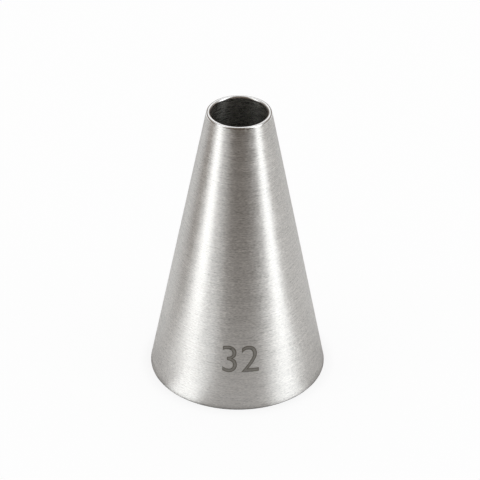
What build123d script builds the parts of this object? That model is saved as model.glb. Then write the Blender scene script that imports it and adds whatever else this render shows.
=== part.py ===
"""A plain piping nozzle for a pastry bag: one seamless cone of stainless sheet.

The cone is drawn from a single disc, so it has no seam, collar or second piece. Its wall
is even all the way up. At the mouth the sheet's end is burnished to a full round, which
is the only edge that the filling passes over. At the base the sheet is trimmed square to
the axis, and both corners of the cut are eased, so that the nozzle stands flat and
doesn't cut the bag.

Millimetres. +Z runs up the axis from the base to the mouth, and the origin is the centre
of the base, in the plane that the nozzle stands on.
"""

import os
from math import asin, atan2, cos, hypot, sin

from build123d import *

# Driving dimensions
MOUTH_DIAMETER = 10.0  # clear opening, across the inside of the lip
BASE_DIAMETER = 32.0  # outside, where the cone would meet the worktop with no edge break
HEIGHT = 53.0  # worktop to the crown of the lip
WALL = 0.8  # sheet thickness, square to the cone
OUTER_EDGE_BREAK = 0.18  # radius on the outside corner of the trimmed base
INNER_EDGE_BREAK = 0.12  # radius on the inside corner of the trimmed base

# The lip is a half round as thick as the wall, so its centre sits half a wall in
lip_radius = WALL / 2
lip_centre_radius = MOUTH_DIAMETER / 2 + lip_radius
lip_centre_height = HEIGHT - lip_radius
base_radius = BASE_DIAMETER / 2

# The outside is the line from the base corner that just touches the lip's circle
lean_to_centre = atan2(base_radius - lip_centre_radius, lip_centre_height)
reach_to_centre = hypot(base_radius - lip_centre_radius, lip_centre_height)
half_angle = lean_to_centre - asin(lip_radius / reach_to_centre)
inner_base_radius = base_radius - WALL / cos(half_angle)


def on_lip(side):
    """Where the outside (side 1) or the inside (side -1) of the cone runs into the lip."""
    return (
        lip_centre_radius + side * lip_radius * cos(half_angle),
        lip_centre_height + side * lip_radius * sin(half_angle),
    )


def on_crown():
    """The point of the lip's arc that is furthest along the wall."""
    return (
        lip_centre_radius - lip_radius * sin(half_angle),
        lip_centre_height + lip_radius * cos(half_angle),
    )


with BuildPart() as nozzle_cone:
    with BuildSketch(Plane.XZ) as wall_section:
        with BuildLine() as outline:
            outside = Line((base_radius, 0), on_lip(1))
            lip = ThreePointArc(outside @ 1, on_crown(), on_lip(-1))
            inside = Line(lip @ 1, (inner_base_radius, 0))
            trimmed_end = Line(inside @ 1, outside @ 0)
        make_face()
    revolve(axis=Axis.Z)

    base_corners = nozzle_cone.edges().filter_by(GeomType.CIRCLE).group_by(Axis.Z)[0]
    inner_corner, outer_corner = base_corners.sort_by(SortBy.RADIUS)
    fillet(outer_corner, OUTER_EDGE_BREAK)
    fillet(inner_corner, INNER_EDGE_BREAK)

nozzle_cone.part.label = "nozzle_cone"

os.makedirs("parts", exist_ok=True)
export_step(nozzle_cone.part, "parts/nozzle_cone.step")
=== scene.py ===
"""A plain piping nozzle in a small studio: the drawn cone, its size number and the light.

Metres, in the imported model's frame: +Z runs up the axis from the base to the mouth, the
origin is the centre of the base, and the size number faces -Y.
"""

import logging
import math
from dataclasses import dataclass
from enum import Enum

import bpy
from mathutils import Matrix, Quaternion, Vector


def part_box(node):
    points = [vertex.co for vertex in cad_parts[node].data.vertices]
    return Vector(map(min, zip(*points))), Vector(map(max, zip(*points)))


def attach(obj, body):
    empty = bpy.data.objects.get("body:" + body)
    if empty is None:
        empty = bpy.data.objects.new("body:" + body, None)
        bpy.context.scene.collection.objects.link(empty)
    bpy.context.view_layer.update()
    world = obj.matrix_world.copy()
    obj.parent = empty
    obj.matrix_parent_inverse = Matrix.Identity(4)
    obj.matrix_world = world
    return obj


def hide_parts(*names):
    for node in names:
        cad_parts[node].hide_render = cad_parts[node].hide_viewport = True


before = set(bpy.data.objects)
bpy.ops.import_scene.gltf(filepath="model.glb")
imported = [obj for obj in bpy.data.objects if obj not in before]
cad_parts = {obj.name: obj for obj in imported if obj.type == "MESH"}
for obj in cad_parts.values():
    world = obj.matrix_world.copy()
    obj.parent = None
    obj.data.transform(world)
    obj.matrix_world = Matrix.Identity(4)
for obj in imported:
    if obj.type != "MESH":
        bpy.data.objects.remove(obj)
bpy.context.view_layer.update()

MM = 0.001
ROUND_MAP = "round_and_up"  # the cone's own UV map: U runs round the axis, V up the section

Socket = bpy.types.NodeSocket
Colour = tuple[float, float, float]

log = logging.getLogger("nozzle")


def deselect_all() -> None:
    """Clears the selection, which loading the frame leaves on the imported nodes."""
    bpy.ops.object.select_all(action="DESELECT")


def cut_across(place: Vector, normal: Vector) -> None:
    """Cuts the mesh in edit mode along the plane through a point."""
    bpy.ops.mesh.select_all(action="SELECT")
    bpy.ops.mesh.bisect(plane_co=place, plane_no=normal)


def off_axis(place: Vector) -> float:
    """The distance of a point from the nozzle's axis."""
    return math.hypot(place.x, place.y)


def way_to(azimuth: float, elevation: float) -> Vector:
    """The way from the nozzle towards a place around it.

    Args:
        azimuth: degrees, 0 in front of the nozzle and 90 to its right.
        elevation: degrees above the floor.

    Returns:
        A vector one metre long.
    """
    turn, rise = math.radians(azimuth), math.radians(elevation)
    return Vector(
        (math.sin(turn) * math.cos(rise), -math.cos(turn) * math.cos(rise), math.sin(rise))
    )


@dataclass(frozen=True)
class WallLine:
    """One side of the wall's section, as a straight line from the floor upwards."""

    radius_at_floor: float
    narrowing: float  # radius lost for each metre of height

    @classmethod
    def through(cls, low: Vector, high: Vector) -> "WallLine":
        """The line through two points of the same side of the wall."""
        narrowing = (off_axis(low) - off_axis(high)) / (high.z - low.z)
        return cls(off_axis(low) + narrowing * low.z, narrowing)

    def radius(self, height: float) -> float:
        """The radius of this side at a height."""
        return self.radius_at_floor - self.narrowing * height


@dataclass(frozen=True)
class ConeSizes:
    """The cone's driving sizes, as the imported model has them."""

    height: float
    outside: WallLine
    inside: WallLine

    @classmethod
    def from_frame(cls, node_name: str) -> "ConeSizes":
        """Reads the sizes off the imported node.

        Args:
            node_name: the cone's node in the frame.

        Returns:
            The sizes of the wall that the node's plain stretch shows.
        """
        plain_margin = 1.0 * MM  # the stretch that the edge break and the lip take at the ends
        wall_facing = 0.9  # how much of a wall's normal points off the axis, or to it, at least
        low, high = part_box(node_name)
        sides: dict[bool, list[Vector]] = {True: [], False: []}
        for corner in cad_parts[node_name].data.vertices:
            outwards = Vector((corner.co.x, corner.co.y, 0)).normalized().dot(corner.normal)
            plain = low.z + plain_margin < corner.co.z < high.z - plain_margin
            if plain and abs(outwards) > wall_facing:
                sides[outwards > 0].append(corner.co.copy())
        lines = {
            outer: WallLine.through(
                min(points, key=lambda point: point.z), max(points, key=lambda point: point.z)
            )
            for outer, points in sides.items()
        }
        return cls(high.z, lines[True], lines[False])

    @property
    def half_angle(self) -> float:
        """The angle between the wall and the axis, in radians."""
        return math.atan(self.outside.narrowing)

    @property
    def wall(self) -> float:
        """The sheet's thickness, square to the cone."""
        level_wall = self.outside.radius_at_floor - self.inside.radius_at_floor
        return level_wall * math.cos(self.half_angle)

    @property
    def lip_radius(self) -> float:
        """The radius of the full round at the mouth."""
        return self.wall / 2

    @property
    def lip_height(self) -> float:
        """The height of the centre of the lip's round."""
        return self.height - self.lip_radius

    def middle_radius(self, height: float) -> float:
        """The radius of the middle of the wall at a height."""
        return (self.outside.radius(height) + self.inside.radius(height)) / 2

    @property
    def lip_centre(self) -> Vector:
        """The centre of the lip's round, as distance off the axis and height."""
        return Vector((self.middle_radius(self.lip_height), self.lip_height))


class Ray(Enum):
    """The kinds of ray that the floor and the room answer in their own way."""

    CAMERA = "Is Camera Ray"
    GLOSSY = "Is Glossy Ray"
    TRANSMISSION = "Is Transmission Ray"


class NodeBench:
    """A small bench for wiring a node tree, one call for each node."""

    def __init__(self, tree: bpy.types.NodeTree) -> None:
        """Clears the tree and starts with an empty bench."""
        self.tree = tree
        tree.nodes.clear()

    def add(self, kind: str, settings: dict | None = None, **inputs) -> bpy.types.Node:
        """Adds a node, sets it up and feeds its inputs.

        Args:
            kind: the node's type, without the leading ShaderNode.
            settings: the node's own properties.
            inputs: a value or a socket for each input, with _ for a space in the input's name
                and a number after "i" for an input that shares its name.

        Returns:
            The new node.
        """
        node = self.tree.nodes.new(f"ShaderNode{kind}")
        for name, value in (settings or {}).items():
            setattr(node, name, value)
        for name, value in inputs.items():
            key = int(name[1:]) if name[0] == "i" and name[1:].isdigit() else name.replace("_", " ")
            if isinstance(value, bpy.types.NodeSocket):
                self.tree.links.new(value, node.inputs[key])
            else:
                node.inputs[key].default_value = value
        return node

    def math(self, operation: str, first, second=0.0, third=0.0) -> Socket:
        """A sum of up to three values or sockets."""
        settings = {"operation": operation}
        return self.add("Math", settings, i0=first, i1=second, i2=third).outputs[0]

    def ease(self, value, start: float, end: float, low=0.0, high=1.0) -> Socket:
        """A smooth step from low to high while a value goes from start to end."""
        settings = {"interpolation_type": "SMOOTHSTEP", "clamp": True}
        ends = {"From_Min": start, "From_Max": end, "To_Min": low, "To_Max": high}
        return self.add("MapRange", settings, Value=value, **ends).outputs[0]

    def span(self, value, start: float, end: float, low: float, high: float) -> Socket:
        """A straight step from low to high while a value goes from start to end."""
        ends = {"From_Min": start, "From_Max": end, "To_Min": low, "To_Max": high}
        return self.add("MapRange", {"clamp": True}, Value=value, **ends).outputs[0]

    def mix(self, factor, first, second) -> Socket:
        """A value between two values."""
        return self.add("Mix", {"data_type": "FLOAT"}, i0=factor, i2=first, i3=second).outputs[0]

    def tint(self, factor, first, second) -> Socket:
        """A colour between two colours."""
        mix = self.add("Mix", {"data_type": "RGBA"}, i0=factor, i6=first, i7=second)
        return mix.outputs[2]

    def scaled(self, colour: Colour, tone) -> Socket:
        """A colour made lighter or darker."""
        settings = {"operation": "SCALE"}
        return self.add("VectorMath", settings, i0=colour, Scale=tone).outputs[0]

    def place(self, scale: tuple[float, float, float]) -> Socket:
        """The point in the object's own coordinates, scaled along each axis."""
        point = self.add("TexCoord").outputs["Object"]
        return self.add("Mapping", Vector=point, Scale=scale).outputs[0]

    def along_noise(self, scale: tuple[float, float, float], low: float, high: float) -> Socket:
        """A value between low and high that a noise sets, with so many features for each metre."""
        usual_low, usual_high = 0.3, 0.7  # where nearly all of a noise lies
        noise = self.add("TexNoise", Vector=self.place(scale), Scale=1.0, Detail=2.0, Roughness=0.5)
        return self.span(noise.outputs[0], usual_low, usual_high, low, high)


def new_material(name: str) -> tuple[bpy.types.Material, NodeBench]:
    """An empty node material and the bench to wire it on."""
    material = bpy.data.materials.new(name)
    material.use_nodes = True
    return material, NodeBench(material.node_tree)


@dataclass(frozen=True)
class Grain:
    """One layer of the brushing: streaks drawn out round the axis."""

    length: float  # about how long a streak is
    pitch: float  # about how far it is from the next one up the wall
    tone: float  # how much the streaks differ in brightness
    lean: float  # how much their normals differ in the way they face round the axis
    detail: float = 1.0  # how many times finer streaks lie on the streaks
    detail_strength: float = 0.6

    def wire(self, bench: NodeBench) -> tuple[Socket, Socket]:
        """Wires the layer and returns its change of tone and its lean, both about zero."""
        middle = 0.5
        point = bench.place((1 / self.length, 1 / self.length, 1 / self.pitch))
        noise = bench.add(
            "TexNoise", Vector=point, Scale=1.0, Detail=self.detail, Roughness=self.detail_strength
        )
        parts = bench.add("SeparateXYZ", Vector=noise.outputs["Color"])
        return tuple(
            bench.math("MULTIPLY", bench.math("SUBTRACT", part, middle), strength)
            for part, strength in ((parts.outputs[1], self.tone), (parts.outputs[2], self.lean))
        )


@dataclass(frozen=True)
class BrushedSteel:
    """Satin stainless, brushed round the axis while the nozzle turned on its mandrel."""

    name: str
    colour: Colour = (0.632, 0.620, 0.602)
    roughness: float = 0.45
    roughness_swing: float = 0.16
    dark_tone: float = 0.9  # the streaks' tones between which the roughness takes its swing
    light_tone: float = 1.1
    anisotropy: float = 0.77
    grain: Grain = Grain(0.5 * MM, 0.11 * MM, 1.25, 0.08)
    scratches: Grain = Grain(5.0 * MM, 0.15 * MM, 0.62, 0.03)
    clouds: Grain = Grain(5.0 * MM, 2.0 * MM, 0.10, 0.02)
    across_the_brushing: float = 0.25  # turns from the map's U, so that glints run up the wall
    edge_tint: float = 0.6  # how much of its light the metal keeps at a glancing angle

    def make(self) -> bpy.types.Material:
        """Wires the finish and returns it."""
        material, bench = new_material(self.name)
        tone, side = 1.0, 0.0
        for layer in (self.grain, self.scratches, self.clouds):
            change, turn = layer.wire(bench)
            tone = bench.math("ADD", tone, change)
            side = bench.math("ADD", side, turn)
        low = self.roughness - self.roughness_swing / 2
        high = self.roughness + self.roughness_swing / 2
        rough = bench.span(tone, self.dark_tone, self.light_tone, low, high)
        follow_map = {"direction_type": "UV_MAP", "uv_map": ROUND_MAP}
        round_the_axis = bench.add("Tangent", follow_map).outputs[0]
        leaning = bench.add(
            "VectorMath",
            {"operation": "MULTIPLY_ADD"},
            i0=round_the_axis,
            i1=bench.add("CombineXYZ", X=side, Y=side, Z=side).outputs[0],
            i2=bench.add("NewGeometry").outputs["Normal"],
        )
        normal = bench.add("VectorMath", {"operation": "NORMALIZE"}, i0=leaning.outputs[0])
        shader = bench.add(
            "BsdfPrincipled",
            Base_Color=bench.scaled(self.colour, tone),
            Metallic=1.0,
            Specular_Tint=(self.edge_tint,) * 3 + (1,),
            Roughness=rough,
            Anisotropic=self.anisotropy,
            Anisotropic_Rotation=self.across_the_brushing,
            Normal=normal.outputs[0],
            Tangent=round_the_axis,
        )
        bench.add("OutputMaterial", Surface=shader.outputs[0])
        return material


@dataclass(frozen=True)
class PolishedSteel:
    """Burnished stainless, nearly a mirror, with a few hairlines left."""

    name: str
    colour: Colour = (0.695, 0.69, 0.685)
    roughness: float = 0.18
    roughness_share: float = 0.3  # how much of its roughness the hairlines add or take
    hairlines: tuple[float, float, float] = (900, 900, 6000)  # for each metre

    def make(self) -> bpy.types.Material:
        """Wires the finish and returns it."""
        material, bench = new_material(self.name)
        swing = self.roughness * self.roughness_share
        rough = bench.along_noise(self.hairlines, self.roughness - swing, self.roughness + swing)
        colour = (*self.colour, 1)
        shader = bench.add("BsdfPrincipled", Base_Color=colour, Metallic=1.0, Roughness=rough)
        bench.add("OutputMaterial", Surface=shader.outputs[0])
        return material


@dataclass(frozen=True)
class MarkedSteel:
    """Stainless darkened by a marking laser."""

    name: str
    colour: Colour
    roughness: float = 0.5
    roughness_swing: float = 0.12
    tone_swing: float = 0.3
    metallic: float = 0.85
    pass_lines: tuple[float, float, float] = (2500, 2500, 9000)  # for each metre

    def make(self) -> bpy.types.Material:
        """Wires the finish and returns it."""
        material, bench = new_material(self.name)
        tone, rough = (
            bench.along_noise(self.pass_lines, middle - swing / 2, middle + swing / 2)
            for middle, swing in ((1.0, self.tone_swing), (self.roughness, self.roughness_swing))
        )
        colour = bench.scaled(self.colour, tone)
        shader = bench.add(
            "BsdfPrincipled", Base_Color=colour, Metallic=self.metallic, Roughness=rough
        )
        bench.add("OutputMaterial", Surface=shader.outputs[0])
        return material


class Zone(Enum):
    """The cone's finishes, in the order of its material slots."""

    OUTSIDE = 0
    LIP = 1
    INSIDE = 2
    TRIMMED_END = 3


def arc(centre: Vector, radius: float, start: float, end: float, steps: int) -> list[Vector]:
    """The points of an arc in the wall's section.

    Args:
        centre: the arc's centre, as distance off the axis and height.
        radius: the arc's radius.
        start: the angle of its first point, in radians up from the outward level.
        end: the angle of its last point.
        steps: how many chords it has.

    Returns:
        The points, both ends included.
    """
    turns = [start + (end - start) * step / steps for step in range(steps + 1)]
    return [centre + radius * Vector((math.cos(turn), math.sin(turn))) for turn in turns]


@dataclass
class NozzleCone:
    """The drawn cone: an even sheet with a full-round lip and a base trimmed square."""

    sizes: ConeSizes
    finishes: dict[Zone, bpy.types.Material]
    name: str = "drawn_cone"
    sides: int = 256
    wall_rings: int = 18
    lip_segments: int = 24
    edge_segments: int = 5
    outer_edge_break: float = 0.18 * MM
    inner_edge_break: float = 0.12 * MM
    face_area_weight: int = 100

    def build(self) -> bpy.types.Object:
        """Models the cone, dresses it and hangs it on the frame.

        Returns:
            The finished piece.
        """
        cone = self.start_ring()
        bpy.ops.object.mode_set(mode="EDIT")
        self.draw_section()
        self.close_base()
        bpy.ops.object.mode_set(mode="OBJECT")
        self.smooth(cone)
        self.lay_round_map(cone)
        self.dress(cone)
        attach(cone, "root")
        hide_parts("nozzle_cone")
        return cone

    def section(self) -> list[Vector]:
        """The wall's section, from the outer end of the flat base over the lip to its inner end.

        Returns:
            Points as distance off the axis and height, one for each ring of the cone.
        """
        lean = self.sizes.half_angle
        across = 1 / math.cos(lean)
        outer, inner = self.outer_edge_break, self.inner_edge_break
        outer_corner = Vector((self.sizes.outside.radius(outer) - outer * across, outer))
        inner_corner = Vector((self.sizes.inside.radius(inner) + inner * across, inner))
        foot = arc(outer_corner, outer, -math.pi / 2, lean, self.edge_segments)
        centre, radius = self.sizes.lip_centre, self.sizes.lip_radius
        lip = arc(centre, radius, lean, math.pi + lean, self.lip_segments)
        heel = arc(inner_corner, inner, math.pi + lean, 1.5 * math.pi, self.edge_segments)
        shares = [ring / self.wall_rings for ring in range(1, self.wall_rings)]
        rise = [foot[-1].lerp(lip[0], share) for share in shares]
        fall = [lip[-1].lerp(heel[0], share) for share in shares]
        return foot + rise + lip + fall + heel

    def start_ring(self) -> bpy.types.Object:
        """The first ring, where the flat of the base meets its outer corner."""
        deselect_all()
        first = self.section()[0]
        place = (0, 0, first.y)
        bpy.ops.mesh.primitive_circle_add(vertices=self.sides, radius=first.x, location=place)
        cone = bpy.context.object
        cone.name = self.name
        bpy.ops.object.transform_apply(location=True, rotation=True, scale=True)
        return cone

    def draw_section(self) -> None:
        """Draws the first ring up the outside, over the lip and down the inside."""
        points = self.section()
        bpy.ops.mesh.select_mode(type="EDGE")
        bpy.ops.mesh.select_all(action="SELECT")
        for here, there in zip(points, points[1:]):
            rise = {"value": (0, 0, there.y - here.y)}
            bpy.ops.mesh.extrude_edges_move(TRANSFORM_OT_translate=rise)
            change = there.x / here.x
            bpy.ops.transform.resize(value=(change, change, 1), center_override=(0, 0, there.y))

    def close_base(self) -> None:
        """Closes the flat of the base between the last ring and the first."""
        bpy.ops.mesh.select_all(action="DESELECT")
        bpy.ops.mesh.select_non_manifold()
        bpy.ops.mesh.bridge_edge_loops()
        bpy.ops.mesh.select_all(action="SELECT")
        bpy.ops.mesh.normals_make_consistent(inside=False)

    def smooth(self, cone: bpy.types.Object) -> None:
        """Shades the wall smooth, with its normals taken from the large faces."""
        bpy.ops.object.shade_smooth()
        weighted = cone.modifiers.new("weighted", "WEIGHTED_NORMAL")
        weighted.mode = "FACE_AREA"
        weighted.weight = self.face_area_weight
        bpy.ops.object.modifier_apply(modifier=weighted.name)

    def along_section(self, place: Vector) -> float:
        """How far along the section a point lies, from the base over the lip to the base."""
        lean, lip = self.sizes.half_angle, self.sizes.lip_radius
        out = off_axis(place) - self.sizes.lip_centre.x
        up = place.z - self.sizes.lip_height
        past = out * -math.sin(lean) + up * math.cos(lean)
        wall = self.sizes.lip_height / math.cos(lean)
        if past > 0:
            return wall + lip * (math.atan2(up, out) - lean)
        outer = off_axis(place) > self.sizes.middle_radius(place.z)
        return wall + past if outer else wall + math.pi * lip - past

    def lay_round_map(self, cone: bpy.types.Object) -> None:
        """Lays the UV map that the brushing follows: U round the axis, V along the section."""
        round_map = cone.data.uv_layers.new(name=ROUND_MAP)
        corners = cone.data.vertices
        full = 2 * self.sizes.lip_height / math.cos(self.sizes.half_angle)
        for face in cone.data.polygons:
            middle_turn = math.atan2(face.center.y, face.center.x)
            for loop in face.loop_indices:
                place = corners[cone.data.loops[loop].vertex_index].co
                turn = math.atan2(place.y, place.x) - middle_turn
                turn = (turn + math.pi) % (2 * math.pi) - math.pi + middle_turn
                across, along = turn / (2 * math.pi) + 0.5, self.along_section(place) / full
                round_map.data[loop].uv = (across, along)

    def zone_of(self, face: bpy.types.MeshPolygon) -> Zone:
        """Says which finish a face takes, by its place and the way it faces."""
        lip_start = self.sizes.lip_height - self.sizes.lip_radius * math.sin(self.sizes.half_angle)
        if face.center.z > lip_start:
            return Zone.LIP
        if face.center.z < self.outer_edge_break:
            return Zone.TRIMMED_END
        outwards = Vector((face.center.x, face.center.y, 0)).dot(face.normal) > 0
        return Zone.OUTSIDE if outwards else Zone.INSIDE

    def dress(self, cone: bpy.types.Object) -> None:
        """Gives each zone its finish."""
        for zone in Zone:
            cone.data.materials.append(self.finishes[zone])
        for face in cone.data.polygons:
            face.material_index = self.zone_of(face).value


@dataclass
class SizeNumber:
    """The nozzle's plain size number: its base diameter in millimetres, marked by a laser."""

    cone: bpy.types.Object
    sizes: ConeSizes
    finishes: list[bpy.types.Material]
    name: str = "size_number"
    text: str = "32"
    digit_height: float = 5.1 * MM
    middle_height: float = 9.9 * MM
    stroke_border: float = 0.17 * MM
    strip: float = 0.25 * MM  # width of the strips that let the mark bend round the cone
    proud: float = 0.012 * MM
    thickness: float = 0.03 * MM
    weld: float = 0.001 * MM  # how close two points of a digit are when they are the same
    curve_steps: int = 12
    smooth_up_to: float = 30.0  # degrees between two faces

    def build(self) -> bpy.types.Object:
        """Models the number, lays it on the cone and hangs it on the frame.

        Returns:
            The finished piece.
        """
        mark = self.write()
        self.split_border(mark)
        self.cut_strips(mark)
        self.lay_on_cone(mark)
        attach(mark, "root")
        return mark

    def write(self) -> bpy.types.Object:
        """The flat digits, upright in front of the cone, at their real size."""
        deselect_all()
        bpy.ops.object.text_add(location=(0, 0, 0))
        mark = bpy.context.object
        mark.name = self.name
        mark.data.body = self.text
        mark.data.align_x = "CENTER"
        mark.data.align_y = "CENTER"
        mark.data.resolution_u = self.curve_steps
        bpy.ops.object.convert(target="MESH")
        lows = [min(corner.co[axis] for corner in mark.data.vertices) for axis in range(2)]
        highs = [max(corner.co[axis] for corner in mark.data.vertices) for axis in range(2)]
        scale = self.digit_height / (highs[1] - lows[1])
        mark.scale = (scale, scale, scale)
        mark.rotation_euler = (math.pi / 2, 0, 0)
        in_front = -1.2 * self.sizes.outside.radius_at_floor
        mark.location = (
            -scale * (lows[0] + highs[0]) / 2,
            in_front,
            self.middle_height - scale * (lows[1] + highs[1]) / 2,
        )
        bpy.ops.object.transform_apply(location=True, rotation=True, scale=True)
        return mark

    def split_border(self, mark: bpy.types.Object) -> None:
        """Parts each stroke into a border and a core, each with its finish."""
        for finish in self.finishes:
            mark.data.materials.append(finish)
        bpy.ops.object.mode_set(mode="EDIT")
        bpy.ops.mesh.select_all(action="SELECT")
        bpy.ops.mesh.remove_doubles(threshold=self.weld)
        bpy.ops.mesh.inset(thickness=self.stroke_border, use_boundary=True)
        mark.active_material_index = 1
        bpy.ops.object.material_slot_assign()
        bpy.ops.object.mode_set(mode="OBJECT")

    def cut_strips(self, mark: bpy.types.Object) -> None:
        """Cuts the flat number into upright strips, so that it can bend."""
        reach = max(abs(corner.co.x) for corner in mark.data.vertices)
        bpy.ops.object.mode_set(mode="EDIT")
        for step in range(-int(reach / self.strip), int(reach / self.strip) + 1):
            cut_across(Vector((step * self.strip, 0, 0)), Vector((1, 0, 0)))
        bpy.ops.object.mode_set(mode="OBJECT")

    def lay_on_cone(self, mark: bpy.types.Object) -> None:
        """Projects the number straight back onto the cone and gives it its thickness."""
        wrap = mark.modifiers.new("wrap", "SHRINKWRAP")
        wrap.target = self.cone
        wrap.wrap_method = "PROJECT"
        wrap.use_project_x = False
        wrap.use_project_y = True
        wrap.use_project_z = False
        wrap.use_positive_direction = True
        wrap.use_negative_direction = False
        wrap.offset = self.proud
        bpy.ops.object.modifier_apply(modifier=wrap.name)
        film = mark.modifiers.new("film", "SOLIDIFY")
        film.thickness = self.thickness
        film.offset = -1
        bpy.ops.object.modifier_apply(modifier=film.name)
        bpy.ops.object.shade_smooth_by_angle(angle=math.radians(self.smooth_up_to))


@dataclass(frozen=True)
class Softbox:
    """A rectangular studio lamp that faces the nozzle."""

    name: str
    azimuth: float  # degrees, 0 in front of the nozzle and 90 to its right
    elevation: float
    distance: float
    width: float
    height: float
    radiance: float
    colour: Colour = (0.97, 0.99, 1.0)

    def build(self) -> bpy.types.Object:
        """Hangs the lamp and returns it."""
        deselect_all()
        towards = way_to(self.azimuth, self.elevation)
        bpy.ops.object.light_add(type="AREA", location=towards * self.distance)
        lamp = bpy.context.object
        lamp.name = self.name
        lamp.rotation_mode = "QUATERNION"
        lamp.rotation_quaternion = towards.to_track_quat("Z", "Y")
        lamp.data.shape = "RECTANGLE"
        lamp.data.size = self.width
        lamp.data.size_y = self.height
        lamp.data.energy = self.radiance * math.pi * self.width * self.height
        lamp.data.color = self.colour
        lamp.visible_camera = False
        return lamp


@dataclass(frozen=True)
class Glow:
    """A stretch of the compass that is lighter, or darker, than the rest."""

    azimuth: float  # degrees, 0 in front of the nozzle and 90 to its right
    half_width: float  # degrees from its middle to where it has half its strength
    fade: float  # degrees that each of its sides takes
    strength: float


@dataclass(frozen=True)
class Compass:
    """Light that changes round the compass, as a level with glows on it."""

    level: float
    glows: tuple[Glow, ...]
    dimmest: float = 0.07  # the least that is left where glows take light away

    def wire(self, bench: NodeBench, x: Socket, y: Socket) -> Socket:
        """Wires the light for a direction.

        Args:
            bench: where to wire it.
            x: the direction's way to the right.
            y: the direction's way to the back.

        Returns:
            The radiance in that direction.
        """
        azimuth = bench.math("ARCTAN2", x, bench.math("MULTIPLY", y, -1.0))
        total = self.level
        for glow in self.glows:
            off = bench.math("SUBTRACT", azimuth, math.radians(glow.azimuth))
            off = bench.math("ABSOLUTE", bench.math("WRAP", off, math.pi, -math.pi))
            near = math.radians(glow.half_width - glow.fade / 2)
            far = math.radians(glow.half_width + glow.fade / 2)
            total = bench.math("ADD", total, bench.ease(off, near, far, glow.strength, 0.0))
        return bench.math("MAXIMUM", total, self.dimmest)


@dataclass(frozen=True)
class Belt:
    """A ring of the floor or a height of the room: its light, and where it takes over."""

    light: Compass
    start: float = 0.0  # where the belt before it begins to give way: metres out or degrees up
    full: float = 0.0  # where it has taken over


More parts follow.
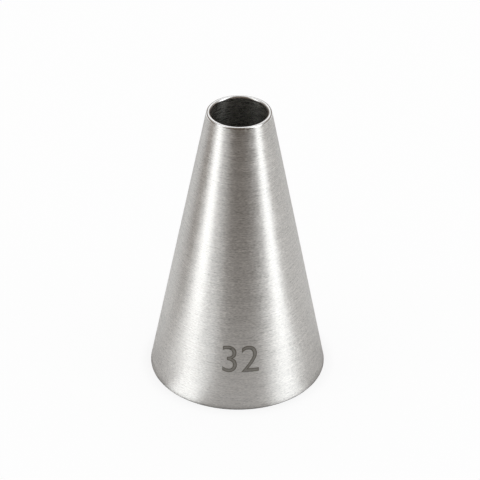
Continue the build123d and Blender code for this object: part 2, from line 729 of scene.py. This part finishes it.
@dataclass
class Studio:
    """The white sweep, the lamps and the room around the nozzle."""

    base_radius: float
    floor_radius: float = 3.0
    floor_sides: int = 96
    paper_white: float = 0.80
    lift: float = 0.9  # how much of the floor's picture is plain white, so that shadows stay faint
    lift_at_base: float = 0.78
    shadow_reach: float = 2.5 * MM  # how far off the base the shadow takes to fade
    white_from: float = 60 * MM  # where the floor begins to turn white, so that no horizon shows
    white_to: float = 300 * MM
    painted_shadow_from: float = 0.35 * MM  # off the base, where the shadow painted on the paper, which its edge mirrors, begins to fade
    painted_shadow_to: float = 0.75 * MM  # and where the painted shadow is gone and the paper is lit again
    softboxes: tuple[Softbox, ...] = (
        Softbox("left_softbox", -70, 32, 1.0, 0.40, 1.1, 0.67),
        Softbox("right_softbox", 70, 32, 1.0, 0.40, 1.1, 0.67),
        Softbox("top_softbox", 180, 74, 1.0, 0.9, 0.9, 0.09),
    )
    # pools of light painted on the paper, which only the metal sees, ring by ring out from the base
    floor: tuple[Belt, ...] = (
        Belt(
            Compass(
                0.8,
                (
                    Glow(-45, 13, 14, 1.46),
                    Glow(39, 14.5, 14, 0.8),
                ),
            ),
        ),
        Belt(
            Compass(
                1.02,
                (
                    Glow(7, 24, 24, -0.15),
                    Glow(-57, 30, 14, 0.71),
                    Glow(53, 21, 14, 0.62),
                    Glow(93, 9, 12, -0.06),
                    Glow(-132, 22, 20, 0.32),
                    Glow(130, 22, 20, 0.24),
                ),
            ),
            start=21 * MM,
            full=31 * MM,
        ),
        Belt(
            Compass(
                0.9,
                (
                    Glow(22, 51, 30, -1.0),
                    Glow(-65, 10.5, 8, 3.0),
                    Glow(60, 9.5, 10, 3.2),
                    Glow(-96, 10, 12, -0.7),
                    Glow(-112, 12, 14, -0.24),
                    Glow(-139, 17, 16, 0.45),
                    Glow(80, 8, 12, -0.16),
                    Glow(100, 14, 14, 0.14),
                    Glow(139, 18, 16, 0.5),
                    Glow(228, 34, 30, 0.18),
                ),
            ),
            start=30 * MM,
            full=120 * MM,
        ),
        Belt(
            Compass(
                0.9,
                (
                    Glow(22, 51, 30, -1.0),
                    Glow(-65, 10.5, 8, 1.2),
                    Glow(60, 9.5, 10, 1.3),
                    Glow(-96, 10, 12, -0.7),
                    Glow(78, 8, 12, -0.4),
                ),
            ),
            start=150 * MM,
            full=400 * MM,
        ),
    )
    room: tuple[Belt, ...] = (
        Belt(
            Compass(
                0.16,
                (
                    Glow(4, 50, 20, -0.24),
                    Glow(-72, 14, 12, 0.3),
                    Glow(63, 13, 12, 1.9),
                ),
            ),
        ),
        Belt(
            Compass(
                0.85,
                (
                    Glow(-12, 54, 16, -0.7),
                    Glow(-72, 22, 14, 0.4),
                    Glow(64, 18, 14, 0.95),
                    Glow(-120, 14, 14, -0.35),
                    Glow(118, 14, 14, -0.35),
                    Glow(180, 30, 40, 0.57),
                ),
            ),
            start=18,
            full=33,
        ),
        Belt(
            Compass(
                0.05,
                (
                    Glow(0, 61, 30, -0.44),
                    Glow(180, 60, 50, -0.04),
                ),
            ),
            start=69,
            full=79,
        ),
    )
    dim_colour: Colour = (1.28, 1.0, 0.76)
    pool_colour: Colour = (0.975, 1.0, 1.01)
    dim_until: float = 0.7  # the radiance above which the metal's light is no longer warm
    cool_from: float = 0.7  # and the two between which it turns cool
    cool_above: float = 1.8

    def build(self) -> None:
        """Builds the whole studio."""
        self.lay_floor()
        for softbox in self.softboxes:
            softbox.build()
            log.info("lamp %s", softbox.name)
        self.surround()

    def colour_of(self, bench: NodeBench, light: Socket) -> Socket:
        """The colour of the light that the metal sees: warm where it is dim, cool in the pools."""
        past_dim = bench.ease(light, 0.0, self.dim_until)
        warm = bench.tint(past_dim, (*self.dim_colour, 1), (1, 1, 1, 1))
        pool = bench.ease(light, self.cool_from, self.cool_above)
        return bench.tint(pool, warm, (*self.pool_colour, 1))

    def seen_by(self, bench: NodeBench) -> tuple[Socket, Socket]:
        """Wires whether a ray comes straight to the eye, or through glass, and whether off metal."""
        path = bench.add("LightPath")
        straight, through = path.outputs[Ray.CAMERA.value], path.outputs[Ray.TRANSMISSION.value]
        return bench.math("MAXIMUM", straight, through), path.outputs[Ray.GLOSSY.value]

    def join_belts(
        self,
        bench: NodeBench,
        belts: tuple[Belt, ...],
        place: Socket,
        x: Socket,
        y: Socket,
    ) -> Socket:
        """Wires belts that give way to one another.

        Args:
            bench: where to wire them.
            belts: the belts, from the nearest or the lowest on.
            place: how far out or up the light is asked for, in the belts' own measure.
            x: the direction's way to the right.
            y: the direction's way to the back.

        Returns:
            The radiance there.
        """
        light = belts[0].light.wire(bench, x, y)
        for belt in belts[1:]:
            taken = bench.ease(place, belt.start, belt.full)
            light = bench.mix(taken, light, belt.light.wire(bench, x, y))
        return light

    def lay_floor(self) -> bpy.types.Object:
        """Lays the floor: white to the eye with a faint shadow, and to the metal in painted pools of
        light, with a painted shadow under and round the base.
        """
        deselect_all()
        bpy.ops.mesh.primitive_circle_add(
            vertices=self.floor_sides, radius=self.floor_radius, fill_type="NGON"
        )
        floor = bpy.context.object
        floor.name = "floor"
        material, bench = new_material("white_paper")
        place = bench.add("SeparateXYZ", Vector=bench.add("TexCoord").outputs["Object"])
        x, y = place.outputs[0], place.outputs[1]
        squares = bench.math("MULTIPLY_ADD", x, x, bench.math("MULTIPLY", y, y))
        reach = bench.math("SQRT", squares)
        # painted pools of light: the paper glows in them for the metal's rays, though no lamp casts
        # them
        painted_pools = self.join_belts(bench, self.floor, reach, x, y)
        # painted shadow: under the base and in a thin ring round it, the paper shows dark to the
        # metal
        dark, lit = self.base_radius + self.painted_shadow_from, self.base_radius + self.painted_shadow_to
        clear_of_painted_shadow = bench.ease(reach, dark, lit)
        shadow_end = self.base_radius + self.shadow_reach
        lift = bench.ease(reach, self.base_radius, shadow_end, self.lift_at_base, self.lift)
        lift = bench.math("MAXIMUM", lift, bench.ease(reach, self.white_from, self.white_to))
        eye, metal = self.seen_by(bench)
        light = bench.mix(metal, 1.0, bench.math("MULTIPLY", painted_pools, clear_of_painted_shadow))
        colour = bench.tint(metal, (1, 1, 1, 1), self.colour_of(bench, painted_pools))
        glow = bench.add("Emission", Color=colour, Strength=light)
        share = bench.math("MAXIMUM", bench.math("MULTIPLY", eye, lift), metal)
        paper = bench.add("BsdfDiffuse", Color=(self.paper_white,) * 3 + (1,))
        both = bench.add("MixShader", i0=share, i1=paper.outputs[0], i2=glow.outputs[0])
        bench.add("OutputMaterial", Surface=both.outputs[0])
        floor.data.materials.append(material)
        return floor

    def surround(self) -> None:
        """Sets the room: white to the eye, and a tent with a dark front to the metal."""
        world = bpy.data.worlds.new("room")
        bpy.context.scene.world = world
        world.use_nodes = True
        bench = NodeBench(world.node_tree)
        way = bench.add("SeparateXYZ", Vector=bench.add("TexCoord").outputs["Object"])
        x, y, up = way.outputs
        height = bench.math("DEGREES", bench.math("ARCSINE", up))
        tent = self.join_belts(bench, self.room, height, x, y)
        eye, metal = self.seen_by(bench)
        light = bench.mix(metal, 1.0, tent)
        light = bench.math("MAXIMUM", light, eye)
        colour = bench.tint(metal, (1, 1, 1, 1), self.colour_of(bench, tent))
        back = bench.add("Background", Strength=light, Color=colour)
        bench.add("OutputWorld", Surface=back.outputs[0])


@dataclass(frozen=True)
class Viewpoint:
    """Where the photograph was taken from."""

    azimuth: float = -2.3  # degrees, 0 straight in front of the size number
    elevation: float = 33.49
    roll: float = 0.43
    distance: float = 480.0 * MM
    lens: float = 200.3  # millimetres
    sensor: float = 36.0  # its width in millimetres
    nearest_share: float = 0.1  # of the distance, from which on the camera sees
    subject_height: float = 25.6 * MM
    aim_right: float = 0.31 * MM  # how far the frame's centre lies off the subject
    aim_up: float = 0.45 * MM

    def build(self) -> bpy.types.Object:
        """Sets up the camera and returns it."""
        deselect_all()
        turn = math.radians(self.azimuth)
        back = way_to(self.azimuth, self.elevation)
        right = Vector((math.cos(turn), math.sin(turn), 0))
        up = back.cross(right)
        subject = Vector((0, 0, self.subject_height))
        place = subject + back * self.distance
        aim = subject + right * self.aim_right + up * self.aim_up
        bpy.ops.object.camera_add(location=place)
        camera = bpy.context.object
        camera.name = "camera"
        camera.rotation_mode = "QUATERNION"
        level = (place - aim).to_track_quat("Z", "Y")
        camera.rotation_quaternion = level @ Quaternion((0, 0, 1), math.radians(self.roll))
        camera.data.lens = self.lens
        camera.data.sensor_width = self.sensor
        camera.data.clip_start = self.distance * self.nearest_share
        bpy.context.scene.camera = camera
        return camera


def main() -> None:
    """Builds the nozzle and its studio, one piece after the other."""
    logging.basicConfig(level=logging.INFO, format="%(name)s: %(message)s")
    bpy.context.scene.view_settings.view_transform = "Standard"
    sizes = ConeSizes.from_frame("nozzle_cone")
    half_angle = math.degrees(sizes.half_angle)
    log.info("wall %.3f mm, half angle %.2f degrees", sizes.wall / MM, half_angle)
    finishes = {
        Zone.OUTSIDE: BrushedSteel("brushed_outside").make(),
        Zone.LIP: PolishedSteel("burnished_lip").make(),
        Zone.INSIDE: BrushedSteel(
            "drawn_inside_painted_lighter",
            # the drawn steel's own colour, set lighter than the outside's: partly painted light that
            # brightens the dim inside
            colour=(0.74, 0.73, 0.69),
            roughness=0.28,
            roughness_swing=0.05,
            anisotropy=0.92,
            grain=Grain(0.8 * MM, 0.15 * MM, 1.1, 0.01),
            scratches=Grain(6.0 * MM, 0.2 * MM, 0.7, 0.01),
        ).make(),
        Zone.TRIMMED_END: PolishedSteel("trimmed_end", roughness=0.12).make(),
    }
    cone = NozzleCone(sizes, finishes=finishes).build()
    log.info("%s: %d faces", cone.name, len(cone.data.polygons))
    border = MarkedSteel("mark_border", (0.13, 0.118, 0.102)).make()
    core = MarkedSteel("mark_core", (0.24, 0.23, 0.21)).make()
    mark = SizeNumber(cone, sizes, [border, core]).build()
    log.info("%s: %d faces", mark.name, len(mark.data.polygons))
    Viewpoint().build()
    Studio(sizes.outside.radius(0)).build()


if __name__ == "__main__":
    main()
